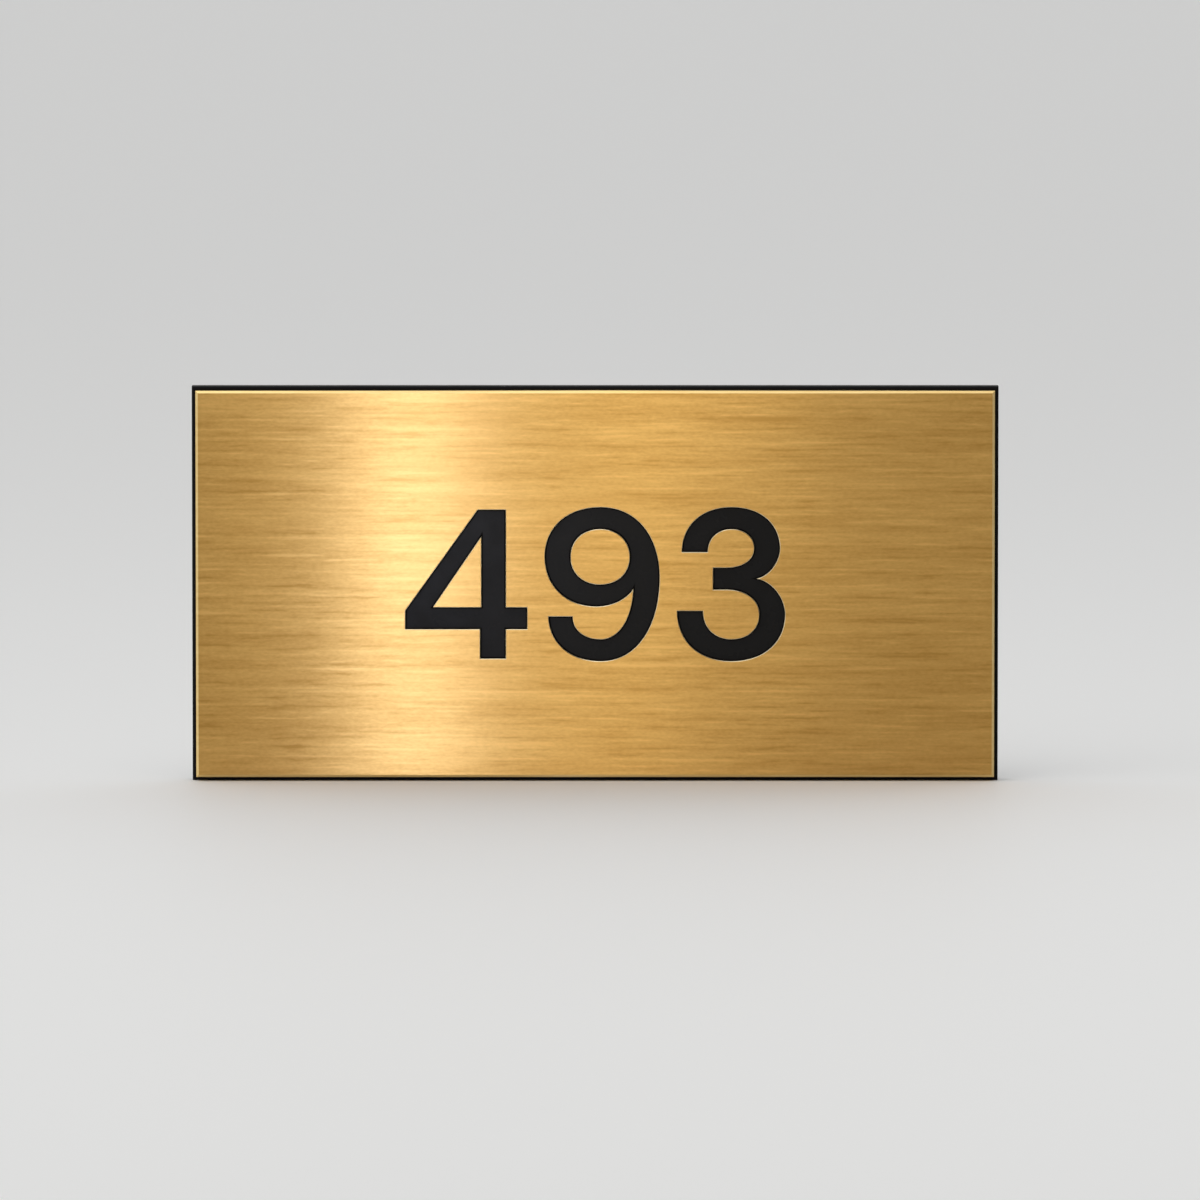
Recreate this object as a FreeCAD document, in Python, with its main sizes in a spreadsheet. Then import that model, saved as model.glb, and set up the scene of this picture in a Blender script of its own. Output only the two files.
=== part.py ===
import FreeCAD, Part
import os
import Sketcher

# House number plaque, in millimetres.
# A bevelled brass face carries the engraved figures 4, 9 and 3, each filled with a film
# of black enamel. Behind it lies a black backing plate, a little larger all round.
# Four studs stand in the back of the face and pass through the backing. Thin nuts, sunk
# in counterbores, clamp the two plates, and the tails of the studs go into the wall.
# The origin is the middle of the backing's wall side. X runs to the right, Z runs up,
# and the front looks towards -Y.

# The two plates
plate_sizes = {
    "face_width": 200.0,  # brass face, left to right
    "face_height": 97.0,  # brass face, bottom to top
    "face_thickness": 3.0,  # brass face, back to front
    "face_bevel": 0.6,  # bevel round the front of the face
    "backing_margin": 1.0,  # black edge that shows all round the face
    "backing_thickness": 5.0,  # backing plate, wall side to face
    "backing_bevel": 0.3,  # bevel round the front of the backing
}

# What the three figures share
figure_sizes = {
    "figure_height": 37.4,  # flat figures, base line to top
    "figure_overshoot": 0.65,  # round figures beyond the base line and top
    "figure_gap": 4.45,  # clear brass between neighbouring figures
    "upright_stroke": 6.4,  # width of the upright strokes
    "level_stroke": 5.5,  # height of the level strokes
    "outer_fullness": 0.82,  # how square the outer curves are
    "inner_fullness": 0.79,  # how square the inner curves are
    "waist_fullness": 0.68,  # how square the curves into the waist of the 3 are
    "engraving_depth": 1.5,  # figures, depth below the face
    "engraving_bevel": 0.15,  # burnished edge round each engraved stroke
    "enamel_thickness": 0.3,  # enamel on the floor of the engraving
}

# The 4, measured from its left edge and from the base line
four_sizes = {
    "four_width": 30.5,  # whole width
    "four_overhang": 5.35,  # bar beyond the stem, on the right
    "four_top_width": 7.0,  # flat top, from the slanted stroke to the stem's right side
    "four_heel": 4.7,  # upright cut at the left end of the bar
    "four_bar_height": 7.4,  # under side of the bar
    "four_upper_stem": 6.1,  # stem beside the counter
    "four_counter_left": 6.9,  # left corner of the counter
    "four_counter_drop": 6.7,  # top of the counter, below the top of the figure
}

# The 9, measured the same way
nine_sizes = {
    "nine_width": 28.7,  # whole width
    "nine_middle": 14.0,  # where its top and foot are level
    "nine_side_rise": 1.7,  # widest point of the right side, above the middle
    "nine_counter_width": 14.9,  # counter, left to right
    "nine_bowl_base": 13.1,  # foot of the bowl, above the base line
    "nine_bowl_middle": 13.0,  # where the foot of the bowl is level
    "nine_crotch_reach": 22.2,  # point where the bowl meets the tail
    "nine_crotch_rise": 4.5,  # the same point, above the foot of the bowl
    "nine_crotch_pull": 19.4,  # how far the foot of the bowl runs level
    "nine_tail_pull": 21.8,  # how far the inside of the tail runs level
    "nine_cut_left": 0.9,  # left end of the tail's cut
    "nine_cut_width": 6.0,  # tail's cut, left to right
    "nine_cut_gap": 2.5,  # opening between the bowl and the tail's cut
    "nine_cut_lean": 0.4,  # how far the tail swings in below its cut
}

# The 3, measured the same way
three_sizes = {
    "three_width": 27.0,  # whole width, at the lower bowl
    "three_middle": 13.6,  # where its top and foot are level
    "three_upper_width": 25.7,  # left edge to the right side of the upper bowl
    "three_waist_reach": 19.9,  # point of the waist
    "three_waist_flare": 1.2,  # how fast the bowls leave the waist
    "three_bar_left": 9.0,  # left end of the middle bar
    "three_bar_straight": 3.4,  # straight part of the middle bar
    "three_bar_rise": 1.4,  # middle of the bar, above the middle of the figure
    "three_upper_cut_left": 1.2,  # left end of the upper cut
    "three_upper_cut_drop": 11.3,  # upper cut, below the top of the curve
    "three_lower_cut_height": 12.0,  # lower cut, above the base line
}

# Studs and nuts
fixing_sizes = {
    "stud_diameter": 4.0,  # M4 thread, from its seat in the face to the wall side
    "stud_inset": 15.0,  # stud axis, in from the edges of the face
    "stud_cover": 1.0,  # brass left in front of each stud
    "tail_diameter": 3.5,  # plain tail of the stud, which a nut slips over
    "tail_reach": 20.0,  # tail beyond the wall side of the backing
    "tail_point": 0.5,  # bevel on the end of the tail
    "stud_clearance": 0.25,  # gap round the stud in the backing
    "nut_flats": 7.0,  # thin hexagon nut across flats
    "nut_thickness": 2.2,  # thin hexagon nut
    "nut_sink": 0.3,  # nut below the wall side of the backing
    "driver_room": 1.5,  # counterbore beyond the corners of the nut
}

doc = FreeCAD.newDocument("house_number_plaque")
sizes = doc.addObject("Spreadsheet::Sheet", "sizes")
all_sizes = {**plate_sizes, **figure_sizes, **four_sizes, **nine_sizes, **three_sizes, **fixing_sizes}
for row, (size_name, number) in enumerate(all_sizes.items(), start=1):
    sizes.set(f"A{row}", size_name)
    sizes.set(f"B{row}", str(number))
    sizes.setAlias(f"B{row}", size_name)
doc.recompute()

# Closer than this, an edge counts as lying in a plane or reaching a side.
near = 0.0001


# The present value of an expression in the sheet's names.
def value(text):
    return float(sizes.evalExpression(text))


# A place is a pair of expressions: across, and up.
def vector(place):
    return FreeCAD.Vector(value(place[0]), value(place[1]), 0)


# A body whose own origin stands at a bound place in the plaque's frame.
def new_body(name, across="0", depth="0", up="0"):
    body = doc.addObject("PartDesign::Body", name)
    body.Label = name
    body.setExpression("Placement.Base.x", across)
    body.setExpression("Placement.Base.y", depth)
    body.setExpression("Placement.Base.z", up)
    return body


# A sketch on one of its body's own planes. One that looks to the front lies on the XZ
# plane, and may stand a bound distance before it.
def new_sketch(body, name, forward="0", role="XZ_Plane"):
    sketch = body.newObject("Sketcher::SketchObject", name)
    plane = next(feature for feature in body.Origin.OriginFeatures if feature.Role == role)
    sketch.AttachmentSupport = [(plane, "")]
    sketch.MapMode = "FlatFace"
    sketch.setExpression("AttachmentOffset.Base.z", forward)
    return sketch


def bind(sketch, constraint, text):
    index = sketch.addConstraint(constraint)
    sketch.setExpression(f"Constraints[{index}]", text)


# A sketch numbers the start, the end and the centre of each of its curves.
START, END, CENTRE = range(1, 4)
ORIGIN = -1


# Ties one such point of a curve to a place.
def pin(sketch, geometry, which, place):
    across, up = place
    bind(sketch, Sketcher.Constraint("DistanceX", ORIGIN, START, geometry, which, value(across)), across)
    bind(sketch, Sketcher.Constraint("DistanceY", ORIGIN, START, geometry, which, value(up)), up)


# Two kinds of stretch, each from its start to wherever the next one starts.
def straight(start):
    return start, None, None


def rounded(start, corner, fullness):
    return start, corner, fullness


# A rounded stretch is a conic. It leaves its start and meets its end along the lines to
# its corner, and a larger fullness pulls it nearer to that corner.
def add_rounded(sketch, start, corner, end, fullness):
    curve = Part.BSplineCurve()
    poles = [vector(start), vector(corner), vector(end)]
    curve.buildFromPolesMultsKnots(poles, [3, 3], [0, 1], False, 2, [1, value(fullness), 1])
    geometry = sketch.addGeometry(curve, False)
    sketch.exposeInternalGeometry(geometry)
    corner_pole = geometry + 2
    pin(sketch, corner_pole, CENTRE, corner)
    bind(sketch, Sketcher.Constraint("Weight", corner_pole, value(fullness)), fullness)
    return geometry


# A closed outline of such stretches.
def draw(sketch, outline):
    drawn = []
    for number, (start, corner, fullness) in enumerate(outline):
        end = outline[(number + 1) % len(outline)][0]
        if corner is None:
            geometry = sketch.addGeometry(Part.LineSegment(vector(start), vector(end)), False)
        else:
            geometry = add_rounded(sketch, start, corner, end, fullness)
        pin(sketch, geometry, START, start)
        drawn.append(geometry)
    for here, after in zip(drawn, drawn[1:] + drawn[:1]):
        sketch.addConstraint(Sketcher.Constraint("Coincident", here, END, after, START))


def draw_rectangle(sketch, width, height):
    left, right = f"-({width}) / 2", f"({width}) / 2"
    foot, top = f"-({height}) / 2", f"({height}) / 2"
    draw(sketch, [straight(corner) for corner in ((left, foot), (right, foot), (right, top), (left, top))])


def draw_circle(sketch, place, diameter):
    axis = FreeCAD.Vector(0, 0, 1)
    geometry = sketch.addGeometry(Part.Circle(vector(place), axis, value(diameter) / 2), False)
    pin(sketch, geometry, CENTRE, place)
    bind(sketch, Sketcher.Constraint("Diameter", geometry, value(diameter)), diameter)


# The area that a sketch encloses, less its counters.
def enclosed_area(sketch):
    return Part.makeFace(sketch.Shape.Wires, "Part::FaceMakerBullseye").Area


def add_pad(body, name, sketch, length):
    pad = body.newObject("PartDesign::Pad", name)
    pad.Profile = sketch
    pad.setExpression("Length", length)
    sketch.Visibility = False
    doc.recompute()
    return pad


# A pocket cuts away from its sketch towards the wall, or towards the front. The metal
# that it takes is compared with its outline's area times its depth.
def add_pocket(body, name, sketch, depth, towards_front=False):
    before = body.Shape.Volume
    pocket = body.newObject("PartDesign::Pocket", name)
    pocket.Profile = sketch
    pocket.Reversed = towards_front
    pocket.setExpression("Length", depth)
    sketch.Visibility = False
    doc.recompute()
    wanted = enclosed_area(sketch) * value(depth)
    if abs(before - body.Shape.Volume - wanted) > 0.001 * wanted:
        raise RuntimeError(f"{name} didn't cut what it should")
    return pocket


def add_chamfer(body, name, base, edges, width):
    chamfer = body.newObject("PartDesign::Chamfer", name)
    chamfer.Base = (base, edges)
    chamfer.setExpression("Size", width)
    doc.recompute()
    return chamfer


# Names of a feature's edges that lie in the plane of its front.
def front_edges(feature):
    front = feature.Shape.BoundBox.YMin
    names = []
    for number, edge in enumerate(feature.Shape.Edges, start=1):
        box = edge.BoundBox
        if max(abs(box.YMin - front), abs(box.YMax - front)) < near:
            names.append(f"Edge{number}")
    return names


# The figures stand side by side, and the three together are centred on the face.
group_width = "sizes.four_width + sizes.nine_width + sizes.three_width + 2 * sizes.figure_gap"
four_left = f"-({group_width}) / 2"
nine_left = f"{four_left} + sizes.four_width + sizes.figure_gap"
three_left = f"{nine_left} + sizes.nine_width + sizes.figure_gap"
base_line = "-sizes.figure_height / 2"
figure_top = "sizes.figure_height / 2"
round_foot = f"{base_line} - sizes.figure_overshoot"
round_top = f"{figure_top} + sizes.figure_overshoot"
inner_foot = f"{round_foot} + sizes.level_stroke"
inner_top = f"{round_top} - sizes.level_stroke"
outer = "sizes.outer_fullness"
inner = "sizes.inner_fullness"


def draw_four(sketch):
    right = f"{four_left} + sizes.four_width"
    stem_right = f"{right} - sizes.four_overhang"
    stem_left = f"{stem_right} - sizes.upright_stroke"
    top_left = f"{stem_right} - sizes.four_top_width"
    bar_foot = f"{base_line} + sizes.four_bar_height"
    bar_top = f"{bar_foot} + sizes.level_stroke"
    heel_top = f"{bar_foot} + sizes.four_heel"
    corners = [
        (top_left, figure_top), (stem_right, figure_top), (stem_right, bar_top), (right, bar_top),
        (right, bar_foot), (stem_right, bar_foot), (stem_right, base_line), (stem_left, base_line),
        (stem_left, bar_foot), (four_left, bar_foot), (four_left, heel_top),
    ]
    draw(sketch, [straight(corner) for corner in corners])
    counter_left = f"{four_left} + sizes.four_counter_left"
    counter_right = f"{stem_right} - sizes.four_upper_stem"
    counter_top = f"{figure_top} - sizes.four_counter_drop"
    counter = [(counter_left, bar_top), (counter_right, bar_top), (counter_right, counter_top)]
    draw(sketch, [straight(corner) for corner in counter])


def draw_nine(sketch):
    right = f"{nine_left} + sizes.nine_width"
    middle = f"{nine_left} + sizes.nine_middle"
    side_height = "sizes.nine_side_rise"
    bowl_foot = f"{base_line} + sizes.nine_bowl_base"
    bowl_height = f"({round_top} + {bowl_foot}) / 2"
    bowl_middle = f"{nine_left} + sizes.nine_bowl_middle"
    bowl_pull = f"{nine_left} + sizes.nine_crotch_pull"
    crotch = (f"{nine_left} + sizes.nine_crotch_reach", f"{bowl_foot} + sizes.nine_crotch_rise")
    tail_pull = f"{nine_left} + sizes.nine_tail_pull"
    cut_height = f"{bowl_foot} - sizes.nine_cut_gap"
    cut_left = f"{nine_left} + sizes.nine_cut_left"
    cut_right = f"{cut_left} + sizes.nine_cut_width"
    tail_corner = f"{cut_left} + sizes.nine_cut_lean"
    draw(sketch, [
        rounded((middle, round_top), (nine_left, round_top), outer),
        rounded((nine_left, bowl_height), (nine_left, bowl_foot), inner),
        rounded((bowl_middle, bowl_foot), (bowl_pull, bowl_foot), inner),
        rounded(crotch, (tail_pull, inner_foot), inner),
        rounded((middle, inner_foot), (cut_right, inner_foot), inner),
        straight((cut_right, cut_height)),
        rounded((cut_left, cut_height), (tail_corner, round_foot), outer),
        rounded((middle, round_foot), (right, round_foot), outer),
        rounded((right, side_height), (right, round_top), outer),
    ])
    counter_left = f"{nine_left} + sizes.upright_stroke"
    counter_right = f"{counter_left} + sizes.nine_counter_width"
    counter_middle = f"{counter_left} + sizes.nine_counter_width / 2"
    counter_foot = f"{bowl_foot} + sizes.level_stroke"
    draw(sketch, [
        rounded((counter_middle, inner_top), (counter_left, inner_top), inner),
        rounded((counter_left, bowl_height), (counter_left, counter_foot), inner),
        rounded((counter_middle, counter_foot), (counter_right, counter_foot), inner),
        rounded((counter_right, bowl_height), (counter_right, inner_top), inner),
    ])


def draw_three(sketch):
    right = f"{three_left} + sizes.three_width"
    inner_right = f"{right} - sizes.upright_stroke"
    upper_right = f"{three_left} + sizes.three_upper_width"
    upper_inner_right = f"{upper_right} - sizes.upright_stroke"
    middle = f"{three_left} + sizes.three_middle"
    bar_height = "sizes.three_bar_rise"
    bar_foot = f"{bar_height} - sizes.level_stroke / 2"
    bar_top = f"{bar_height} + sizes.level_stroke / 2"
    bar_left = f"{three_left} + sizes.three_bar_left"
    bar_right = f"{bar_left} + sizes.three_bar_straight"
    upper_height = f"({bar_top} + {inner_top}) / 2"
    lower_height = f"({bar_foot} + {inner_foot}) / 2"
    waist = f"{three_left} + sizes.three_waist_reach"
    waist_above = f"{bar_height} + sizes.three_waist_flare"
    waist_below = f"{bar_height} - sizes.three_waist_flare"
    waist_curve = "sizes.waist_fullness"
    upper_cut_left = f"{three_left} + sizes.three_upper_cut_left"
    upper_cut_right = f"{upper_cut_left} + sizes.upright_stroke"
    upper_cut = f"{round_top} - sizes.three_upper_cut_drop"
    lower_cut_right = f"{three_left} + sizes.upright_stroke"
    lower_cut = f"{base_line} + sizes.three_lower_cut_height"
    draw(sketch, [
        rounded((upper_cut_left, upper_cut), (upper_cut_left, round_top), outer),
        rounded((middle, round_top), (upper_right, round_top), outer),
        rounded((upper_right, upper_height), (upper_right, waist_above), waist_curve),
        rounded((waist, bar_height), (right, waist_below), waist_curve),
        rounded((right, lower_height), (right, round_foot), outer),
        rounded((middle, round_foot), (three_left, round_foot), outer),
        straight((three_left, lower_cut)),
        rounded((lower_cut_right, lower_cut), (lower_cut_right, inner_foot), inner),
        rounded((middle, inner_foot), (inner_right, inner_foot), inner),
        rounded((inner_right, lower_height), (inner_right, bar_foot), inner),
        straight((bar_right, bar_foot)),
        straight((bar_left, bar_foot)),
        straight((bar_left, bar_top)),
        rounded((bar_right, bar_top), (upper_inner_right, bar_top), inner),
        rounded((upper_inner_right, upper_height), (upper_inner_right, inner_top), inner),
        rounded((middle, inner_top), (upper_cut_right, inner_top), inner),
        straight((upper_cut_right, upper_cut)),
    ])


figures = {"four": draw_four, "nine": draw_nine, "three": draw_three}

# The four studs stand at the corners of a rectangle centred on the face.
stud_across = "(sizes.face_width / 2 - sizes.stud_inset)"
stud_up = "(sizes.face_height / 2 - sizes.stud_inset)"
stud_places = {
    "top_left": (f"-{stud_across}", stud_up),
    "top_right": (stud_across, stud_up),
    "bottom_left": (f"-{stud_across}", f"-{stud_up}"),
    "bottom_right": (stud_across, f"-{stud_up}"),
}
stud_depth = "sizes.face_thickness - sizes.stud_cover"
stud_bore = "sizes.stud_diameter + 2 * sizes.stud_clearance"
nut_corners = "sizes.nut_flats / cos(30 deg)"
counterbore = f"{nut_corners} + 2 * sizes.driver_room"
counterbore_depth = "sizes.nut_thickness + sizes.nut_sink"


# Whether an edge of the face's front is one of its four outer edges.
def is_rim(feature, name):
    box = feature.getSubObject(name).BoundBox
    half_width = value("sizes.face_width / 2 - sizes.face_bevel")
    half_height = value("sizes.face_height / 2 - sizes.face_bevel")
    spans_width = box.XLength > 2 * half_width - near
    spans_height = box.ZLength > 2 * half_height - near
    return spans_width or spans_height


# Brass face: a bevelled plate, engraved from the front and bored for the studs behind.
def make_face():
    body = new_body("face_plate", depth="-sizes.backing_thickness")
    outline = new_sketch(body, "face_outline")
    draw_rectangle(outline, "sizes.face_width", "sizes.face_height")
    plate = add_pad(body, "face_sheet", outline, "sizes.face_thickness")
    add_chamfer(body, "face_rim", plate, front_edges(plate), "sizes.face_bevel")
    for figure, draw_figure in figures.items():
        sketch = new_sketch(body, f"{figure}_strokes", "sizes.face_thickness")
        draw_figure(sketch)
        engraved = add_pocket(body, f"{figure}_engraving", sketch, "sizes.engraving_depth")
    strokes = [name for name in front_edges(engraved) if not is_rim(engraved, name)]
    add_chamfer(body, "stroke_edges", engraved, strokes, "sizes.engraving_bevel")
    holes = new_sketch(body, "stud_holes")
    for place in stud_places.values():
        draw_circle(holes, place, "sizes.stud_diameter")
    add_pocket(body, "stud_seats", holes, stud_depth, towards_front=True)
    return body


# Enamel film on the floor of one engraved figure.
def make_enamel(figure, draw_figure):
    floor = "-(sizes.backing_thickness + sizes.face_thickness - sizes.engraving_depth)"
    body = new_body(f"enamel_{figure}", depth=floor)
    sketch = new_sketch(body, f"enamel_{figure}_outline")
    draw_figure(sketch)
    add_pad(body, f"enamel_{figure}_film", sketch, "sizes.enamel_thickness")
    return body


# Black backing: a larger plate, bored for the studs and counterbored for their nuts.
def make_backing():
    body = new_body("backing_plate")
    outline = new_sketch(body, "backing_outline")
    width = "sizes.face_width + 2 * sizes.backing_margin"
    height = "sizes.face_height + 2 * sizes.backing_margin"
    draw_rectangle(outline, width, height)
    plate = add_pad(body, "backing_sheet", outline, "sizes.backing_thickness")
    add_chamfer(body, "backing_rim", plate, front_edges(plate), "sizes.backing_bevel")
    sinks = new_sketch(body, "nut_sinks")
    for place in stud_places.values():
        draw_circle(sinks, place, counterbore)
    add_pocket(body, "counterbores", sinks, counterbore_depth, towards_front=True)
    bores = new_sketch(body, "stud_bores", counterbore_depth)
    for place in stud_places.values():
        draw_circle(bores, place, stud_bore)
    bore_depth = f"sizes.backing_thickness - ({counterbore_depth})"
    add_pocket(body, "clearance_bores", bores, bore_depth, towards_front=True)
    return body


# Stud: a turned pin. Its thread sits in the face and holds the nut, and its plain tail
# stands in the wall.
def make_stud(corner, place):
    body = new_body(f"stud_{corner}", across=place[0], up=place[1])
    profile = new_sketch(body, f"stud_{corner}_profile", role="XY_Plane")
    front = f"-(sizes.backing_thickness + {stud_depth})"
    thread = "sizes.stud_diameter / 2"
    tail = "sizes.tail_diameter / 2"
    corners = [
        ("0", front), (thread, front), (thread, "0"), (tail, f"{thread} - {tail}"),
        (tail, "sizes.tail_reach - sizes.tail_point"),
        (f"{tail} - sizes.tail_point", "sizes.tail_reach"), ("0", "sizes.tail_reach"),
    ]
    draw(profile, [straight(point) for point in corners])
    turned = body.newObject("PartDesign::Revolution", f"stud_{corner}_pin")
    turned.Profile = profile
    turned.ReferenceAxis = (profile, ["V_Axis"])
    profile.Visibility = False
    return body


# Thin hexagon nut, seated on the floor of its counterbore.
def make_nut(corner, place):
    body = new_body(f"nut_{corner}", place[0], "-sizes.nut_sink", place[1])
    sketch = new_sketch(body, f"nut_{corner}_outline")
    corners = []
    for step in range(6):
        angle = f"{step * 60} deg"
        corners.append((f"{nut_corners} / 2 * cos({angle})", f"{nut_corners} / 2 * sin({angle})"))
    draw(sketch, [straight(point) for point in corners])
    draw_circle(sketch, ("0", "0"), "sizes.stud_diameter")
    add_pad(body, f"nut_{corner}_body", sketch, "sizes.nut_thickness")
    return body


sub_parts = [make_face()]
for figure_name, draw_function in figures.items():
    sub_parts.append(make_enamel(figure_name, draw_function))
sub_parts.append(make_backing())
for corner_name, stud_place in stud_places.items():
    sub_parts.append(make_stud(corner_name, stud_place))
    sub_parts.append(make_nut(corner_name, stud_place))
doc.recompute()

# Nothing is written unless every object is sound and every sub-part is one solid.
for item in doc.Objects:
    if "Invalid" in item.State or "Error" in item.State:
        raise RuntimeError(f"{item.Name} did not build")
for body in sub_parts:
    if body.Shape.isNull() or not body.Shape.isValid() or len(body.Shape.Solids) != 1:
        raise RuntimeError(f"{body.Label} is not one sound solid")

os.makedirs("parts", exist_ok=True)
for body in sub_parts:
    body.Shape.exportStep(f"parts/{body.Label}.step")
    print(body.Label, round(body.Shape.Volume, 1))
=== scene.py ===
import math
import bmesh
import bpy
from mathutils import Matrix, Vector


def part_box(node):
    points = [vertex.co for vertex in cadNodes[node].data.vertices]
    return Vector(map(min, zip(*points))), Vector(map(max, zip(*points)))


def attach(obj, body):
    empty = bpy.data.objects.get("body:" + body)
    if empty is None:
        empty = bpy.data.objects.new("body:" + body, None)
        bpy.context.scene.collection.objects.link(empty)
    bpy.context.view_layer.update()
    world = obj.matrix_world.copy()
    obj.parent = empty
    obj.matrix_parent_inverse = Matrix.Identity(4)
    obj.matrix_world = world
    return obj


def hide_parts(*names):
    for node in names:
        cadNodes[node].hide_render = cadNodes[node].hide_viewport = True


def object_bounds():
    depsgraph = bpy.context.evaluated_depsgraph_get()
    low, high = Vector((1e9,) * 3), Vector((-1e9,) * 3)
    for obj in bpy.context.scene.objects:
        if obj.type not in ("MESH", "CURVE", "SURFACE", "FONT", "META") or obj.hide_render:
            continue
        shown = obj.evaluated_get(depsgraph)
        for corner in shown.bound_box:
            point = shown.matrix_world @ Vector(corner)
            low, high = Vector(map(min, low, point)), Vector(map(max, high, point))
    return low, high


# House number plaque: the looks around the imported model, in metres.
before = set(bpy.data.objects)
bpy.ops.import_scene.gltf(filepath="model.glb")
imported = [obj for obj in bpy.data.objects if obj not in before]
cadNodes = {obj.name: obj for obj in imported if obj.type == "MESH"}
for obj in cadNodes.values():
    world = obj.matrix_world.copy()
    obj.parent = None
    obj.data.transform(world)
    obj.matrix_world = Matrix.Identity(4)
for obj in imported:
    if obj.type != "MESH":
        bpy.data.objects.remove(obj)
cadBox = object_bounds()
millimetre = 0.001
tiny = 0.001 * millimetre  # points closer than this are one
print("frame loaded:", len(cadNodes), "nodes")


# Small helpers for node trees

def addNode(tree, kind, values=None, **settings):
    made = tree.nodes.new(kind)
    for name, setting in settings.items():
        setattr(made, name, setting)
    for name, value in (values or {}).items():
        connect(tree, value, made.inputs[name])
    return made


def connect(tree, value, socket):
    if isinstance(value, bpy.types.NodeSocket):
        tree.links.new(value, socket)
    elif value is not None:
        socket.default_value = value


def calc(tree, operation, *terms, clamp=False):
    values = dict(enumerate(terms))
    return addNode(tree, "ShaderNodeMath", values, operation=operation, use_clamp=clamp).outputs[0]


def vectorCalc(tree, operation, *terms):
    return addNode(tree, "ShaderNodeVectorMath", dict(enumerate(terms)), operation=operation).outputs


def joinVector(tree, x=None, y=None, z=None):
    return addNode(tree, "ShaderNodeCombineXYZ", {"X": x, "Y": y, "Z": z}).outputs[0]


def splitVector(tree, vector):
    return addNode(tree, "ShaderNodeSeparateXYZ", {0: vector}).outputs


def spread(tree, value, low, high, newLow, newHigh, curve="LINEAR"):
    values = {"Value": value, "From Min": low, "From Max": high, "To Min": newLow, "To Max": newHigh}
    return addNode(tree, "ShaderNodeMapRange", values, interpolation_type=curve).outputs[0]


def blendColour(tree, share, first, second):
    return addNode(tree, "ShaderNodeMix", {0: share, 6: first, 7: second}, data_type="RGBA").outputs[2]


def blendValue(tree, share, first, second):
    return addNode(tree, "ShaderNodeMix", {0: share, 2: first, 3: second}).outputs[0]


def noise(tree, place, scale, detail, roughness=0.5):
    values = {"Vector": place, "Scale": scale, "Detail": detail, "Roughness": roughness}
    return addNode(tree, "ShaderNodeTexNoise", values).outputs["Fac"]


def varied(tree, base, cloud, amount):
    # The base value, lifted where the cloud is above its middle and lowered where it is below.
    return calc(tree, "MULTIPLY_ADD", calc(tree, "SUBTRACT", cloud, 0.5), amount, base)


def colour(red, green, blue):
    return (red, green, blue, 1.0)


def newGroup(name, inputs, outputs):
    tree = bpy.data.node_groups.new(name, "ShaderNodeTree")
    for label, kind, value in inputs:
        socket = tree.interface.new_socket(label, in_out="INPUT", socket_type=kind)
        if value is not None:
            socket.default_value = value
    for label, kind in outputs:
        tree.interface.new_socket(label, in_out="OUTPUT", socket_type=kind)
    return tree, tree.nodes.new("NodeGroupInput").outputs, tree.nodes.new("NodeGroupOutput").inputs


def useGroup(tree, group, values):
    return addNode(tree, "ShaderNodeGroup", values, node_tree=group).outputs


def newMaterial(name, **constants):
    material = bpy.data.materials.new(name)
    material.use_nodes = True
    shader = material.node_tree.nodes["Principled BSDF"]
    for label, value in constants.items():
        shader.inputs[label.replace("_", " ")].default_value = value
    return material, shader


def objectPlace(tree):
    return addNode(tree, "ShaderNodeTexCoord").outputs["Object"]


def addBump(tree, shader, look, height, normal=None):
    bump = addNode(tree, "ShaderNodeBump", {
        "Strength": look["bumpStrength"], "Distance": look["bumpDepth"],
        "Height": height, "Normal": normal,
    })
    connect(tree, bump.outputs[0], shader.inputs["Normal"])


# Surface effects that several materials share

grainPlan = {
    "swayScale": 2.0,
    "swayAcross": 0.12,  # how fast the sway changes from stroke to stroke
    "swayReach": 4.0,  # stroke widths that a waviness of 1 moves a stroke by
    "middleShare": 0.75,  # strength beside the long strokes
    "shortShare": 0.55,
    "weakest": 0.45,  # strong strokes stand out and weak ones fade
    "strengthRise": 2.6,
    # name: (stretch, shift, noise detail); a larger first number makes the strokes shorter
    "long": ((1.0, 1.0, 1.0), (0.0, 0.3, 0.0), 0.0),
    "middle": ((2.3, 1.0, 1.3), (5.2, 0.3, 7.4), 0.0),
    "short": ((7.0, 1.0, 1.7), (3.1, 0.3, 2.6), 0.0),
    "tone": ((0.6, 0.2, 0.3), (1.7, 0.3, 4.1), 1.0),
    "hair": ((25.0, 1.0, 2.0), (8.3, 0.3, 9.2), 1.0),
}


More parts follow.
